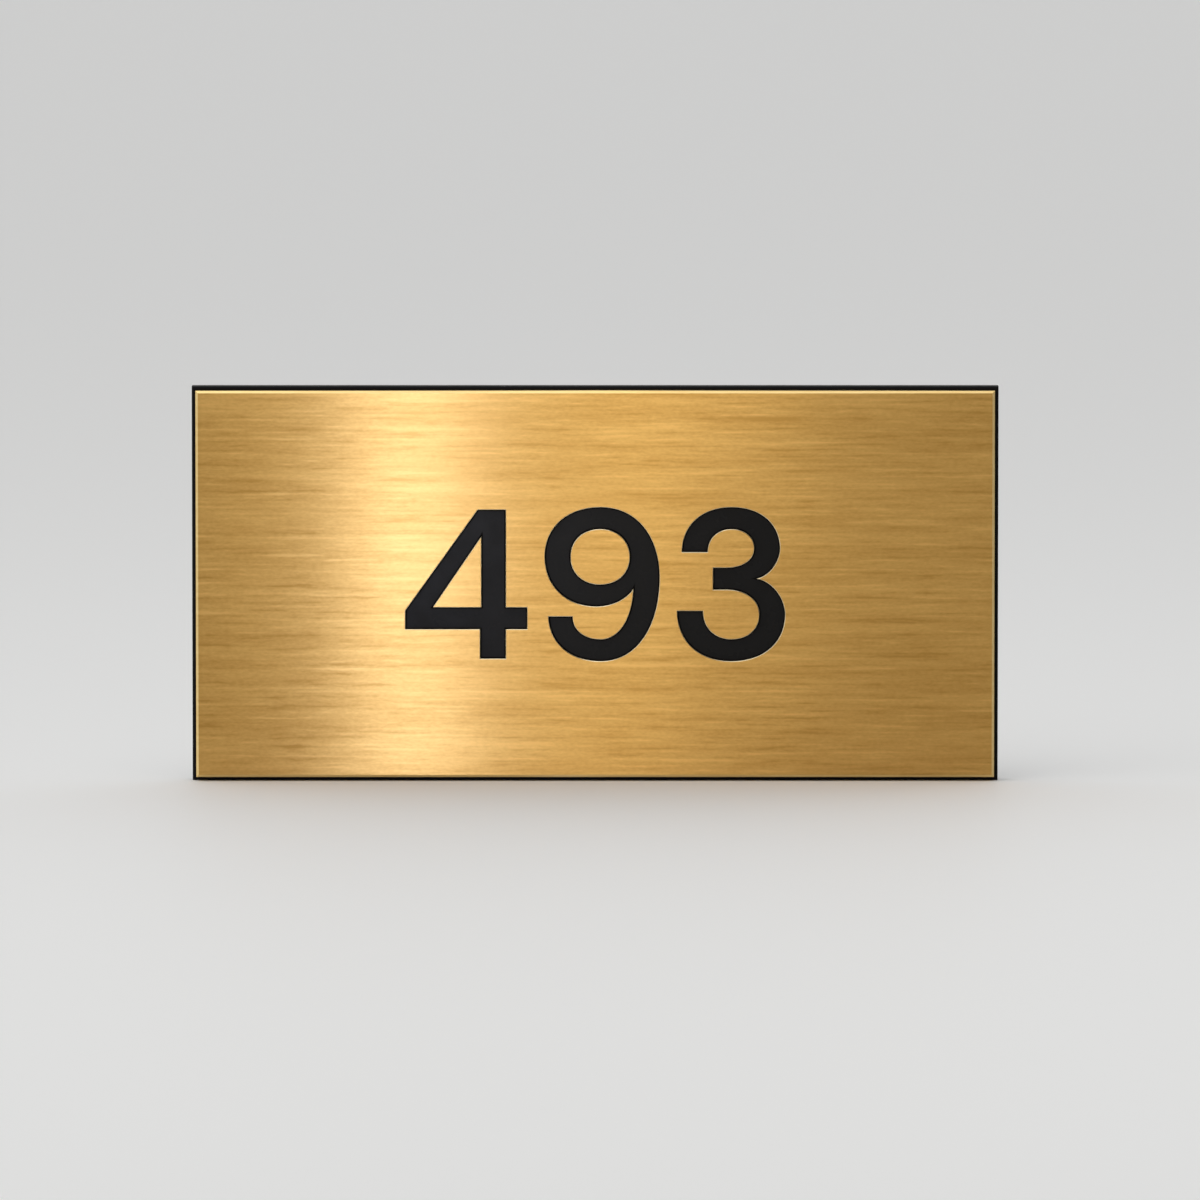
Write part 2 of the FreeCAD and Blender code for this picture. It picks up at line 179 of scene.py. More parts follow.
def makeBrushedGrain(plan):
    # Strokes along X. Tone is the broad light and dark, Lines the strokes and Hair the finest,
    # all around zero.
    tree, given, out = newGroup(
        "brushedGrain",
        [("Vector", "NodeSocketVector", None), ("Stroke Length", "NodeSocketFloat", 0.03),
         ("Stroke Width", "NodeSocketFloat", 0.001), ("Waviness", "NodeSocketFloat", 0.5)],
        [("Tone", "NodeSocketFloat"), ("Lines", "NodeSocketFloat"), ("Hair", "NodeSocketFloat")],
    )
    along, depth, across = splitVector(tree, given["Vector"])
    alongCells = calc(tree, "DIVIDE", along, given["Stroke Length"])
    depthCells = calc(tree, "DIVIDE", depth, given["Stroke Width"])
    acrossCells = calc(tree, "DIVIDE", across, given["Stroke Width"])
    swayPlace = joinVector(tree, x=alongCells, z=calc(tree, "MULTIPLY", acrossCells, plan["swayAcross"]))
    sway = calc(tree, "SUBTRACT", noise(tree, swayPlace, plan["swayScale"], 1.0), 0.5)
    reach = calc(tree, "MULTIPLY", given["Waviness"], plan["swayReach"])
    swayed = calc(tree, "MULTIPLY_ADD", sway, reach, acrossCells)
    place = joinVector(tree, alongCells, depthCells, swayed)

    def strokes(name):
        stretch, shift, detail = plan[name]
        stretched = vectorCalc(tree, "MULTIPLY", place, stretch)[0]
        moved = vectorCalc(tree, "ADD", stretched, shift)[0]
        return calc(tree, "SUBTRACT", noise(tree, moved, 1.0, detail), 0.5)

    lines = calc(tree, "MULTIPLY_ADD", strokes("middle"), plan["middleShare"], strokes("long"))
    lines = calc(tree, "MULTIPLY_ADD", strokes("short"), plan["shortShare"], lines)
    size = calc(tree, "ABSOLUTE", lines)
    strength = calc(tree, "MULTIPLY_ADD", size, plan["strengthRise"], plan["weakest"])
    connect(tree, calc(tree, "MULTIPLY", lines, strength), out["Lines"])
    connect(tree, strokes("tone"), out["Tone"])
    connect(tree, strokes("hair"), out["Hair"])
    return tree


flatPlan = {
    "bevelBelow": 0.90,  # cosines of the angles from the Y axis between which bevel turns to flat
    "flatAbove": 0.985,
}


def makeFlatMask(plan):
    # White where the surface looks straight along Y, black on bevels, edges and walls.
    inputs = [("Normal", "NodeSocketVector", None)]
    tree, given, out = newGroup("flatMask", inputs, [("Flat", "NodeSocketFloat")])
    facing = calc(tree, "ABSOLUTE", splitVector(tree, given["Normal"])["Y"])
    flat = spread(tree, facing, plan["bevelBelow"], plan["flatAbove"], 0.0, 1.0)
    connect(tree, flat, out["Flat"])
    return tree


brushedGrain = makeBrushedGrain(grainPlan)
flatMask = makeFlatMask(flatPlan)
print("shared effects built")


# Brass face

brassLook = {
    "darkStroke": colour(0.531, 0.285, 0.067),
    "lightStroke": colour(0.772, 0.455, 0.132),
    # The bevel colours are paler than the strokes: a painted highlight on bevels, edges and walls.
    "bevelHighlightDark": colour(0.88, 0.61, 0.24),
    "bevelHighlightLight": colour(0.98, 0.74, 0.33),
    # painted highlight on the rims of the figures
    "rimHighlightColour": colour(0.98, 0.84, 0.55),
    "rimReach": (60 * millimetre, 30 * millimetre),  # half the length and height of the figures' place
    "strokeLength": 30 * millimetre,
    "strokeWidth": 0.95 * millimetre,
    "waviness": 0.05,
    "lineContrast": 0.70,
    "toneContrast": 0.80,
    "hairContrast": 0.60,
    "roughness": 0.32,
    "roughnessSpread": 0.01,
    "bevelRoughness": 0.32,
    "anisotropy": 1.0,
    "anisotropyTurn": 0.25,  # of a full turn
    "tiltAlong": 0.004,  # how far the strokes lean along and across the plate
    "tiltAcross": 0.05,
    "bumpStrength": 0.4,
    "bumpDepth": 0.012 * millimetre,
}


def makeBrass(look):
    # Anisotropy spreads highlights across the strokes, so that a lamp shows as an upright band.
    material, shader = newMaterial(
        "brushedBrass", Metallic=1.0,
        Anisotropic=look["anisotropy"], Anisotropic_Rotation=look["anisotropyTurn"],
    )
    tree = material.node_tree
    place = objectPlace(tree)
    normal = addNode(tree, "ShaderNodeNewGeometry").outputs["Normal"]
    flat = useGroup(tree, flatMask, {"Normal": normal})["Flat"]
    grain = useGroup(tree, brushedGrain, {
        "Vector": place, "Stroke Length": look["strokeLength"],
        "Stroke Width": look["strokeWidth"], "Waviness": look["waviness"],
    })
    tone = calc(tree, "MULTIPLY_ADD", grain["Lines"], look["lineContrast"], 0.5)
    tone = calc(tree, "MULTIPLY_ADD", grain["Tone"], look["toneContrast"], tone)
    tone = calc(tree, "MULTIPLY_ADD", grain["Hair"], look["hairContrast"], tone, clamp=True)
    strokes = blendColour(tree, tone, look["darkStroke"], look["lightStroke"])
    bevelHighlightTone = blendColour(tree, tone, look["bevelHighlightDark"], look["bevelHighlightLight"])

    # Painted highlight: within the place of the figures, bevels and walls get a paler colour than the
    # bevels outside.
    spot = splitVector(tree, place)
    reachAcross, reachUp = look["rimReach"]
    nearAcross = calc(tree, "LESS_THAN", calc(tree, "ABSOLUTE", spot["X"]), reachAcross)
    nearUp = calc(tree, "LESS_THAN", calc(tree, "ABSOLUTE", spot["Z"]), reachUp)
    nearFigures = calc(tree, "MULTIPLY", nearAcross, nearUp)
    bevelHighlightTone = blendColour(tree, nearFigures, bevelHighlightTone, look["rimHighlightColour"])
    # Bevels, edges and walls take the paler colour of the painted highlight, the flats take the strokes.
    connect(tree, blendColour(tree, flat, bevelHighlightTone, strokes), shader.inputs["Base Color"])
    rough = calc(tree, "MULTIPLY_ADD", grain["Lines"], look["roughnessSpread"], look["roughness"])
    rough = blendValue(tree, flat, look["bevelRoughness"], rough)
    connect(tree, rough, shader.inputs["Roughness"])

    # Each stroke leans a little, which breaks up the edges of the bright band.
    leanAlong = calc(tree, "MULTIPLY", calc(tree, "MULTIPLY", grain["Lines"], look["tiltAlong"]), flat)
    leanAcross = calc(tree, "MULTIPLY", calc(tree, "MULTIPLY", grain["Hair"], look["tiltAcross"]), flat)
    leaned = vectorCalc(tree, "ADD", normal, joinVector(tree, x=leanAlong, z=leanAcross))[0]
    addBump(tree, shader, look, grain["Lines"], vectorCalc(tree, "NORMALIZE", leaned)[0])
    return material


# Black enamel in the figures

enamelLook = {
    "dark": colour(0.0105, 0.0102, 0.0099),
    "light": colour(0.0130, 0.0126, 0.0122),
    "tint": colour(1.0, 0.88, 0.68),
    "shine": 0.06,
    "roughness": 0.27,
    "roughnessSpread": 0.2,
    # painted shade on the coat up the walls of the figures
    "wallShadeColour": colour(0.0016, 0.0015, 0.0014),
    "wallRoughness": 0.62,
    "wallStart": 0.04 * millimetre,  # height above the flat film at which the coat on the walls starts
    "cloud": (180.0, 3.0, 0.55),  # noise scale, detail and roughness
    "peel": (2200.0, 2.0, 0.5),
    "bumpStrength": 0.25,
    "bumpDepth": 0.02 * millimetre,
}


def makeEnamel(look):
    material, shader = newMaterial(
        "blackEnamel", Specular_IOR_Level=look["shine"], Specular_Tint=look["tint"]
    )
    tree = material.node_tree
    place = objectPlace(tree)
    cloud = noise(tree, place, *look["cloud"])
    peel = noise(tree, place, *look["peel"])
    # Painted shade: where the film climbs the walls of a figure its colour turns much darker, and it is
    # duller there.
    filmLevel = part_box("enamel_four")[0].y
    depth = splitVector(tree, place)["Y"]
    onWall = spread(tree, depth, filmLevel, filmLevel - look["wallStart"], 0.0, 1.0)
    film = blendColour(tree, cloud, look["dark"], look["light"])
    connect(tree, blendColour(tree, onWall, film, look["wallShadeColour"]), shader.inputs["Base Color"])
    rough = varied(tree, look["roughness"], cloud, look["roughnessSpread"])
    rough = blendValue(tree, onWall, rough, look["wallRoughness"])
    connect(tree, rough, shader.inputs["Roughness"])
    addBump(tree, shader, look, peel)
    return material


# Black backing plate

backingLook = {
    "dark": colour(0.0040, 0.0038, 0.0038),
    "light": colour(0.0064, 0.0062, 0.0062),
    "shine": 0.10,
    "roughness": 0.62,
    "roughnessSpread": 0.25,
    "milled": colour(0.090, 0.090, 0.088),  # floors and walls of the recesses and bores
    "milledLight": colour(0.160, 0.160, 0.156),
    "milledRoughness": 0.62,
    "milledRadius": 5.6 * millimetre,
    "toolMark": 0.35 * millimetre,
    "cloud": (60.0, 3.0, 0.6),  # noise scale, detail and roughness
    "fine": (1500.0, 2.0, 0.5),
    "bumpStrength": 0.2,
    "bumpDepth": 0.03 * millimetre,
}


def makeBacking(look):
    material, shader = newMaterial("blackBacking", Specular_IOR_Level=look["shine"])
    tree = material.node_tree
    place = objectPlace(tree)
    cloud = noise(tree, place, *look["cloud"])
    fine = noise(tree, place, *look["fine"])

    # Distance from the nearest stud: the four lie mirrored about the middle.
    low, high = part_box("stud_top_right")
    mirrored = splitVector(tree, vectorCalc(tree, "ABSOLUTE", place)[0])
    acrossStud = calc(tree, "SUBTRACT", mirrored["X"], (low.x + high.x) / 2)
    upStud = calc(tree, "SUBTRACT", mirrored["Z"], (low.z + high.z) / 2)
    distance = vectorCalc(tree, "LENGTH", joinVector(tree, acrossStud, upStud))["Value"]
    milled = calc(tree, "LESS_THAN", distance, look["milledRadius"])
    rings = noise(tree, joinVector(tree, calc(tree, "DIVIDE", distance, look["toolMark"])), 1.0, 1.0)

    sheet = blendColour(tree, cloud, look["dark"], look["light"])
    recess = blendColour(tree, rings, look["milled"], look["milledLight"])
    connect(tree, blendColour(tree, milled, sheet, recess), shader.inputs["Base Color"])
    rough = varied(tree, look["roughness"], cloud, look["roughnessSpread"])
    rough = blendValue(tree, milled, rough, look["milledRoughness"])
    connect(tree, rough, shader.inputs["Roughness"])
    addBump(tree, shader, look, blendValue(tree, milled, fine, rings))
    return material


# Steel of the studs and nuts

steelLook = {
    "dark": colour(0.42, 0.42, 0.41),
    "light": colour(0.66, 0.66, 0.64),
    "strokeLength": 6 * millimetre,
    "strokeWidth": 0.12 * millimetre,
    "waviness": 0.1,
    "lineContrast": 0.8,
    "roughness": 0.32,
    "roughnessSpread": 0.2,
    "bumpStrength": 0.15,
    "bumpDepth": 0.01 * millimetre,
}


def makeSteel(look):
    material, shader = newMaterial("turnedSteel", Metallic=1.0)
    tree = material.node_tree
    # The strokes run round each pin, so they are thin along Y and long both across and up.
    turned = addNode(tree, "ShaderNodeMapping", {
        "Vector": objectPlace(tree), "Rotation": (math.pi / 2, 0, 0),
        "Scale": (1.0, 1.0, look["strokeWidth"] / look["strokeLength"]),
    })
    grain = useGroup(tree, brushedGrain, {
        "Vector": turned.outputs[0], "Stroke Length": look["strokeLength"],
        "Stroke Width": look["strokeWidth"], "Waviness": look["waviness"],
    })
    share = calc(tree, "MULTIPLY_ADD", grain["Lines"], look["lineContrast"], 0.5, clamp=True)
    connect(tree, blendColour(tree, share, look["dark"], look["light"]), shader.inputs["Base Color"])
    rough = calc(tree, "MULTIPLY_ADD", grain["Tone"], look["roughnessSpread"], look["roughness"])
    connect(tree, rough, shader.inputs["Roughness"])
    addBump(tree, shader, look, grain["Lines"])
    return material


brass = makeBrass(brassLook)
enamel = makeEnamel(enamelLook)
backing = makeBacking(backingLook)
steel = makeSteel(steelLook)
for nodeName, cadNode in cadNodes.items():
    if nodeName == "face_plate":
        finish = brass
    elif nodeName.startswith("enamel"):
        finish = enamel
    elif nodeName == "backing_plate":
        finish = backing
    else:
        finish = steel
    for materialSlot in cadNode.material_slots:
        materialSlot.material = finish
print("materials placed")


# Finishing: every piece gets even shading and takes the place of its nodes

def applyModifiers(piece):
    evaluated = piece.evaluated_get(bpy.context.evaluated_depsgraph_get())
    made = bpy.data.meshes.new_from_object(evaluated)
    piece.modifiers.clear()
    piece.data = made
    made.name = piece.name


def smoothPiece(piece, sharpAngle):
    # Large flats keep their own normals, so that only edges and curved walls shade as round.
    piece.data.shade_smooth()
    piece.data.set_sharp_from_angle(angle=math.radians(sharpAngle))
    modifier = piece.modifiers.new("flats", "WEIGHTED_NORMAL")
    modifier.weight = 100
    modifier.keep_sharp = True
    applyModifiers(piece)


def finishPiece(piece, nodes, sharpAngle):
    smoothPiece(piece, sharpAngle)
    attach(piece, "root")
    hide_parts(*nodes)
    print("piece made:", piece.name, len(piece.data.polygons), "faces")


# Turned parts: a tree of Geometry Nodes turns a profile round Y, with a thread where it has one

corners = ["top_left", "top_right", "bottom_left", "bottom_right"]
turningPlan = {
    "section": (0, 1 / 8, 9 / 32, 7 / 16, 9 / 16, 11 / 16, 27 / 32),  # rows of a thread, in pitches
    "crestHalf": 1 / 16,  # in pitches from the middle of the crest: where its flat ends
    "rootFrom": 3 / 8,  # and where the flank reaches the root
    "seamShift": 0.00001,  # radians: keeps the angle of each corner of a hexagon in one sector
    "sharpAngle": 25.0,
}


def makeTurningTree(plan):
    tree = bpy.data.node_groups.new("turnedPart", "GeometryNodeTree")
    inputs = [
        ("Profile", "NodeSocketGeometry"), ("Segments", "NodeSocketInt"), ("Pitch", "NodeSocketFloat"),
        ("Thread Start", "NodeSocketFloat"), ("Thread End", "NodeSocketFloat"),
        ("Crest Radius", "NodeSocketFloat"), ("Root Radius", "NodeSocketFloat"),
        ("End Radius", "NodeSocketFloat"), ("Flare", "NodeSocketFloat"),
        ("Half Flats", "NodeSocketFloat"), ("Centre", "NodeSocketVector"),
        ("Spacing X", "NodeSocketFloat"), ("Spacing Z", "NodeSocketFloat"),
        ("Finish", "NodeSocketMaterial"),
    ]
    for label, kind in inputs:
        tree.interface.new_socket(label, in_out="INPUT", socket_type=kind)
    tree.interface.new_socket("Parts", in_out="OUTPUT", socket_type="NodeSocketGeometry")
    given = tree.nodes.new("NodeGroupInput").outputs
    profile, flare = given["Profile"], given["Flare"]
    crest, root = given["Crest Radius"], given["Root Radius"]
    start, end = given["Thread Start"], given["Thread End"]

    # A grid holds one column for each segment and one row for each point of the profile.
    domainSize = addNode(tree, "GeometryNodeAttributeDomainSize", {"Geometry": profile})
    rows = domainSize.outputs["Point Count"]
    columns = calc(tree, "ADD", given["Segments"], 1)
    grid = addNode(tree, "GeometryNodeMeshGrid", {"Vertices X": columns, "Vertices Y": rows})
    index = tree.nodes.new("GeometryNodeInputIndex").outputs[0]
    column = calc(tree, "FLOOR", calc(tree, "DIVIDE", calc(tree, "ADD", index, 0.5), rows))
    row = calc(tree, "SUBTRACT", index, calc(tree, "MULTIPLY", column, rows))
    turn = calc(tree, "DIVIDE", column, given["Segments"])
    angle = calc(tree, "MULTIPLY", turn, 2 * math.pi)

    def fromProfile(value, kind):
        values = {"Geometry": profile, "Value": value, "Index": row}
        return addNode(tree, "GeometryNodeSampleIndex", values, data_type=kind).outputs[0]

    def pointValue(name):
        stored = addNode(tree, "GeometryNodeInputNamedAttribute", {"Name": name}).outputs[0]
        return fromProfile(stored, "FLOAT")

    spot = fromProfile(tree.nodes.new("GeometryNodeInputPosition").outputs[0], "FLOAT_VECTOR")
    radius, height = splitVector(tree, spot)[:2]
    threaded, hexShare, hexDrop = [pointValue(name) for name in ("threaded", "hexShare", "hexDrop")]

    # Thread: the rows climb one pitch in a turn, are held between its ends, and swing from root
    # to crest.
    climb = calc(tree, "MULTIPLY", turn, given["Pitch"])
    climbed = calc(tree, "MAXIMUM", calc(tree, "ADD", height, climb), start)
    held = calc(tree, "MINIMUM", climbed, end)
    phase = calc(tree, "DIVIDE", calc(tree, "SUBTRACT", held, climb), given["Pitch"])
    fromMiddle = calc(tree, "SUBTRACT", calc(tree, "FRACT", phase), 0.5)
    fromCrest = calc(tree, "SUBTRACT", 0.5, calc(tree, "ABSOLUTE", fromMiddle))
    share = spread(tree, fromCrest, plan["crestHalf"], plan["rootFrom"], 1.0, 0.0)
    threadRadius = calc(tree, "MULTIPLY_ADD", share, calc(tree, "SUBTRACT", crest, root), root)

    # At both ends it runs out to the end radius: inwards for a flare of -1, outwards for 1.
    toStart = calc(tree, "SUBTRACT", held, start)
    toEnd = calc(tree, "SUBTRACT", end, held)
    fromEnd = calc(tree, "MULTIPLY", flare, calc(tree, "MINIMUM", toStart, toEnd))
    leadIn = calc(tree, "MULTIPLY", flare, calc(tree, "SUBTRACT", given["End Radius"], fromEnd))
    flared = calc(tree, "MAXIMUM", calc(tree, "MULTIPLY", flare, threadRadius), leadIn)
    radius = blendValue(tree, threaded, radius, calc(tree, "MULTIPLY", flare, flared))
    height = blendValue(tree, threaded, height, held)

    # Hexagon: a share of the radius follows the flats, and the chamfer drops as it widens to the
    # corners.
    shifted = calc(tree, "ADD", angle, plan["seamShift"])
    sector = calc(tree, "SUBTRACT", calc(tree, "MODULO", shifted, math.pi / 3), math.pi / 6)
    hexRadius = calc(tree, "DIVIDE", given["Half Flats"], calc(tree, "COSINE", sector))
    widened = calc(tree, "SUBTRACT", hexRadius, radius)
    height = calc(tree, "MULTIPLY_ADD", widened, hexDrop, height)
    radius = calc(tree, "MULTIPLY_ADD", widened, hexShare, radius)

    across = calc(tree, "MULTIPLY", radius, calc(tree, "COSINE", angle))
    down = calc(tree, "MULTIPLY", calc(tree, "MULTIPLY", radius, calc(tree, "SINE", angle)), -1)
    turned = addNode(tree, "GeometryNodeSetPosition", {
        "Geometry": grid.outputs["Mesh"], "Position": joinVector(tree, across, height, down),
    })
    closed = addNode(tree, "GeometryNodeMergeByDistance", {
        "Geometry": turned.outputs[0], "Distance": tiny,
    })

    # One copy stands at each corner of the fixing rectangle.
    rectangle = addNode(tree, "GeometryNodeMeshGrid", {
        "Size X": given["Spacing X"], "Size Y": given["Spacing Z"], "Vertices X": 2, "Vertices Y": 2,
    })
    upright = addNode(tree, "GeometryNodeTransform", {
        "Geometry": rectangle.outputs["Mesh"], "Translation": given["Centre"],
        "Rotation": (math.pi / 2, 0, 0),
    })
    copies = addNode(tree, "GeometryNodeInstanceOnPoints", {
        "Points": upright.outputs[0], "Instance": closed.outputs[0],
    })
    plain = addNode(tree, "GeometryNodeRealizeInstances", {"Geometry": copies.outputs[0]})
    finished = addNode(tree, "GeometryNodeSetMaterial", {
        "Geometry": plain.outputs[0], "Material": given["Finish"],
    })
    connect(tree, finished.outputs[0], tree.nodes.new("NodeGroupOutput").inputs[0])
    return tree


turningTree = makeTurningTree(turningPlan)
print("turning tree built")


def plainPoint(radius, height, hexShare=0.0, hexDrop=0.0):
    return (radius, height, 0.0, hexShare, hexDrop)


def threadPoints(start, end, pitch):
    # Rows for one pitch more than the thread's length, because each row climbs a pitch in its turn.
    # Their radius stands for nothing: the tree gives them the thread's.
    first = math.floor(start / pitch) - 1
    last = math.ceil(end / pitch)
    heights = [(whole + step) * pitch for whole in range(first, last) for step in turningPlan["section"]]
    return [(millimetre, height, 1.0, 0.0, 0.0) for height in heights]


def cornerValues(nodeStem):
    # Centre and spacing of the four like nodes, from their boxes.
    middles = []
    for corner in corners:
        low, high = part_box(nodeStem + "_" + corner)
        middles.append(((low.x + high.x) / 2, (low.z + high.z) / 2))
    leftX, topZ = middles[0]
    rightX, footZ = middles[3]
    return {
        "Centre": ((leftX + rightX) / 2, 0.0, (topZ + footZ) / 2),
        "Spacing X": rightX - leftX, "Spacing Z": topZ - footZ,
    }


def turnParts(name, nodeStem, profile, sizes):
    mesh = bpy.data.meshes.new(name + "Profile")
    mesh.from_pydata([(point[0], point[1], 0.0) for point in profile], [], [])
    for column, label in ((2, "threaded"), (3, "hexShare"), (4, "hexDrop")):
        values = mesh.attributes.new(label, "FLOAT", "POINT").data
        values.foreach_set("value", [point[column] for point in profile])
    piece = bpy.data.objects.new(name, mesh)
    bpy.context.scene.collection.objects.link(piece)
    modifier = piece.modifiers.new("turning", "NODES")
    modifier.node_group = turningTree
    settings = {**sizes, **cornerValues(nodeStem), "Finish": steel}
    for socket in turningTree.interface.items_tree:
        if socket.name in settings:
            modifier[socket.identifier] = settings[socket.name]
    applyModifiers(piece)
    nodes = [nodeStem + "_" + corner for corner in corners]
    finishPiece(piece, nodes, turningPlan["sharpAngle"])


# Studs: an M4 thread in the plates, then a plain tail for the wall

studPlan = {
    "segments": 48,
    "pitch": 0.7 * millimetre,
    "threadDepth": 0.40 * millimetre,
    "shankRadius": 2.0 * millimetre,
    "tailRadius": 1.75 * millimetre,
    "stepLength": 0.25 * millimetre,
    "shoulderDepth": 0.08 * millimetre,  # of the slope from the thread up to the tail
    "shoulderLength": 0.02 * millimetre,
    "point": 0.5 * millimetre,
    "pointEdge": 0.12 * millimetre,
    "edgeShare": 0.3,  # of the point's edge, for its rounding
    "tailRing": 0.5,  # places of two rings that divide the tail and its end
    "endRing": 0.35,
}


def makeStuds(plan):
    low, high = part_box("stud_top_left")
    start, end = low.y, high.y
    root = plan["shankRadius"] - plan["threadDepth"]
    threadEnd = -plan["stepLength"]
    tail, point, edge = plan["tailRadius"], plan["point"], plan["pointEdge"]
    rounding = edge * plan["edgeShare"]
    profile = [plainPoint(0.0, start), plainPoint(root, start)]
    profile += threadPoints(start, threadEnd, plan["pitch"])
    profile += [
        plainPoint(root, threadEnd),
        plainPoint(tail - plan["shoulderDepth"], threadEnd + plan["shoulderLength"]),
        plainPoint(tail, 0.0),
        plainPoint(tail, (end - point) * plan["tailRing"]),
        plainPoint(tail, end - point - edge),
        plainPoint(tail - rounding, end - point),
        plainPoint(tail - point, end - rounding),
        plainPoint(tail - point - edge, end),
        plainPoint(tail * plan["endRing"], end),
        plainPoint(0.0, end),
    ]
    turnParts("studs", "stud", profile, {
        "Segments": plan["segments"], "Pitch": plan["pitch"],
        "Thread Start": start, "Thread End": threadEnd,
        "Crest Radius": plan["shankRadius"], "Root Radius": root, "End Radius": root,
        "Flare": -1.0,
    })


makeStuds(studPlan)


# Nuts: thin hexagons, chamfered on both sides, with a thread that runs with the studs'

nutPlan = {
    "segments": 72,
    "pitch": 0.7 * millimetre,
    "threadDepth": 0.36 * millimetre,
    "grooveRadius": 2.03 * millimetre,
    "entryRadius": 2.15 * millimetre,
    "faceShare": 0.95,  # of the width across the flats
    "chamferSlope": math.tan(math.radians(30)),
}


def makeNuts(plan):
    low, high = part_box("nut_top_left")
    bottom, top = low.y, high.y
    halfFlats = (high.z - low.z) / 2
    face = halfFlats * plan["faceShare"]
    slope = plan["chamferSlope"]
    groove, entry = plan["grooveRadius"], plan["entryRadius"]
    profile = [
        plainPoint(entry, bottom),
        plainPoint(face, bottom),
        plainPoint(face, bottom, 1.0, slope),
        plainPoint(face, top, 1.0, -slope),
        plainPoint(face, top),
        plainPoint(entry, top),
    ]
    profile += reversed(threadPoints(bottom, top, plan["pitch"]))
    profile.append(plainPoint(entry, bottom))
    turnParts("nuts", "nut", profile, {
        "Segments": plan["segments"], "Pitch": plan["pitch"],
        "Thread Start": bottom, "Thread End": top,
        "Crest Radius": groove, "Root Radius": groove - plan["threadDepth"], "End Radius": entry,
        "Flare": 1.0, "Half Flats": halfFlats,
    })


makeNuts(nutPlan)


# Plates: merged copies of the nodes, with their sharp edges broken as a polisher leaves them

platePlan = {
    "faceEdge": 0.08 * millimetre,
    "backingEdge": 0.05 * millimetre,
    "segments": 2,
    "brokenAngle": 28.0,  # degrees: sharper edges than this are broken
    "sharpAngle": 40.0,
    "flatAngle": 0.3,  # edges flatter than this only divide a face, and go
}


def copyNode(nodeName, name):
    shape = bmesh.new()
    shape.from_mesh(cadNodes[nodeName].data)
    bmesh.ops.remove_doubles(shape, verts=shape.verts, dist=tiny)
    flatAngle = math.radians(platePlan["flatAngle"])
    bmesh.ops.dissolve_limit(shape, angle_limit=flatAngle, verts=shape.verts, edges=shape.edges)
    piece = bpy.data.objects.new(name, bpy.data.meshes.new(name))
    bpy.context.scene.collection.objects.link(piece)
    return shape, piece


def fillPiece(piece, shape, finish):
    shape.to_mesh(piece.data)
    shape.free()
    piece.data.materials.append(finish)


def makePlate(nodeName, name, finish, edgeWidth, plan):
    shape, piece = copyNode(nodeName, name)
    fillPiece(piece, shape, finish)
    modifier = piece.modifiers.new("brokenEdges", "BEVEL")
    modifier.limit_method = "ANGLE"
    modifier.angle_limit = math.radians(plan["brokenAngle"])
    modifier.width = edgeWidth
    modifier.segments = plan["segments"]
    modifier.use_clamp_overlap = True
    applyModifiers(piece)
    finishPiece(piece, [nodeName], plan["sharpAngle"])


makePlate("face_plate", "brassFace", brass, platePlan["faceEdge"], platePlan)
makePlate("backing_plate", "backingPlate", backing, platePlan["backingEdge"], platePlan)


# Enamel: each film climbs the walls of its figure a little, as paint does where it dries

filmPlan = {
    # (distance from the wall, height above the film) in millimetres; the first is the coat's edge
    "steps": ((0.05, 0.95), (0.08, 0.20), (0.14, 0.09), (0.26, 0.03), (0.42, 0.0)),
    "sharpAngle": 50.0,
}


def makeFilm(nodeName, name, finish, plan):
    shape, piece = copyNode(nodeName, name)
    front = min(vert.co.y for vert in shape.verts)
    film = [part for part in shape.faces if abs(part.calc_center_median().y - front) < tiny]

    def raiseFilm(rise):
        for vert in {vert for part in film for vert in part.verts}:
            vert.co.y = front - rise * millimetre

    coatHeight = plan["steps"][0][1]
    raiseFilm(coatHeight)
    gone = 0.0
    for distance, rise in plan["steps"]:
        width = (distance - gone) * millimetre
        bmesh.ops.inset_region(
            shape, faces=film, thickness=width, use_even_offset=True, use_boundary=True
        )
        raiseFilm(rise)
        gone = distance
    bmesh.ops.recalc_face_normals(shape, faces=shape.faces)
    fillPiece(piece, shape, finish)
    finishPiece(piece, [nodeName], plan["sharpAngle"])


for figure in ("four", "nine", "three"):
    makeFilm("enamel_" + figure, figure + "Film", enamel, filmPlan)


# Camera: straight in front, a few degrees above, with a long lens

cameraPlan = {
    "imageWidth": 1200.0,
    "plaqueCentre": (595.15, 584.30),
    "imageSpan": 0.3005,  # width of the whole image, measured at the face
    "distance": 3.0,
    "elevation": math.radians(4.5),
    "nearest": 0.05,
    "farthest": 100.0,
}


def placeCamera(plan):
    metresPerPixel = plan["imageSpan"] / plan["imageWidth"]
    half = plan["imageWidth"] / 2
    centreX, centreY = plan["plaqueCentre"]
    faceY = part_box("face_plate")[0].y
    aim = Vector(((half - centreX) * metresPerPixel, faceY, (centreY - half) * metresPerPixel))
    back = Vector((0, -math.cos(plan["elevation"]), math.sin(plan["elevation"])))
    data = bpy.data.cameras.new("camera")
    data.lens = data.sensor_width * plan["distance"] / plan["imageSpan"]
    data.clip_start = plan["nearest"]
    data.clip_end = plan["farthest"]
    camera = bpy.data.objects.new("camera", data)
    camera.location = aim + back * plan["distance"]
    camera.rotation_euler = (-back).to_track_quat("-Z", "Y").to_euler()
    bpy.context.scene.collection.objects.link(camera)
    bpy.context.scene.camera = camera


placeCamera(cameraPlan)
print("camera placed")


# Floor, lamps and world

